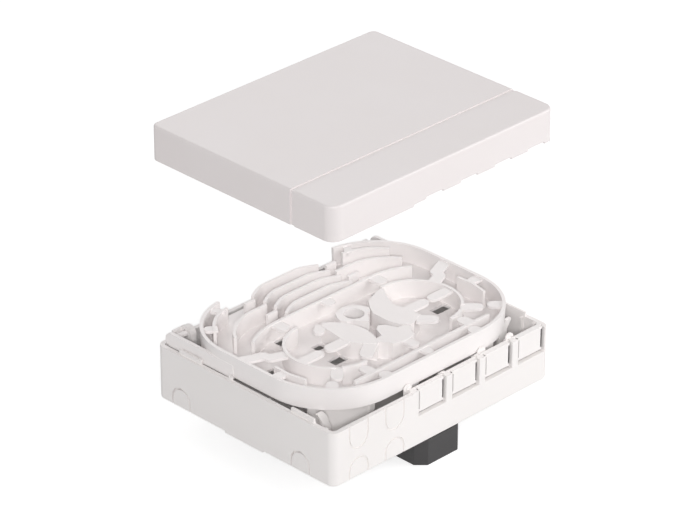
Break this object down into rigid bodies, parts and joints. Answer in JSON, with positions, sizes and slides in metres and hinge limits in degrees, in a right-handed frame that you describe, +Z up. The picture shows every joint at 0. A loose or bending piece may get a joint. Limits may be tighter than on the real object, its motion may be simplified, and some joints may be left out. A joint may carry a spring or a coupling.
{
  "type": "din rail fibre box",
  "caption": "Small white fibre distribution box with a lifted lid, a hinged splice tray, blanked port slots in one wall and a black sprung foot for a top-hat rail.",
  "frame": {"origin": "under the middle of the box, on the plane that the rail foot stands on", "axes": "+X along the port wall towards the last port, ports face -Y, +Z up out of the open base"},
  "size_m": [0.122, 0.1, 0.1335],
  "materials": {
    "white_abs": "satin",
    "lid_abs": "fine satin grain",
    "tray_abs": "satin",
    "black_polyamide": "matte",
    "spring_steel": "drawn",
    "zinc_steel": "zinc plated"
  },
  "bodies": {
    "base": {"base_shell": "white_abs", "rail_carrier": "black_polyamide", "carrier_screw_1": "zinc_steel", "carrier_screw_2": "zinc_steel", "latch_spring": "spring_steel"},
    "lid": {"lid_cover": "lid_abs"},
    "tray": {"splice_tray": "tray_abs"},
    "blank_1": {"port_blank_1": "white_abs"},
    "blank_2": {"port_blank_2": "white_abs"},
    "blank_3": {"port_blank_3": "white_abs"},
    "blank_4": {"port_blank_4": "white_abs"},
    "latch": {"rail_latch": "black_polyamide"}
  },
  "joints": [
    {"name": "lid_lift", "type": "slide", "parent": "base", "child": "lid", "axis": [0, 0, 1], "range_m": [-0.0822, 0]},
    {"name": "tray_hinge", "type": "hinge", "parent": "base", "child": "tray", "pos_m": [0, 0.0444, 0.0388], "axis": [-1, 0, 0], "range_deg": [0, 85]},
    {"name": "blank_1_slide", "type": "slide", "parent": "base", "child": "blank_1", "axis": [0, 0, 1], "range_m": [0, 0.013]},
    {"name": "blank_2_slide", "type": "slide", "parent": "base", "child": "blank_2", "axis": [0, 0, 1], "range_m": [0, 0.013]},
    {"name": "blank_3_slide", "type": "slide", "parent": "base", "child": "blank_3", "axis": [0, 0, 1], "range_m": [0, 0.013]},
    {"name": "blank_4_slide", "type": "slide", "parent": "base", "child": "blank_4", "axis": [0, 0, 1], "range_m": [0, 0.013]},
    {"name": "latch_slide", "type": "slide", "parent": "base", "child": "latch", "axis": [0, -1, 0], "range_m": [0, 0.0035], "stiffness_N_per_m": 500, "springref_m": -0.002, "deforming": ["latch_spring"]}
  ]
}
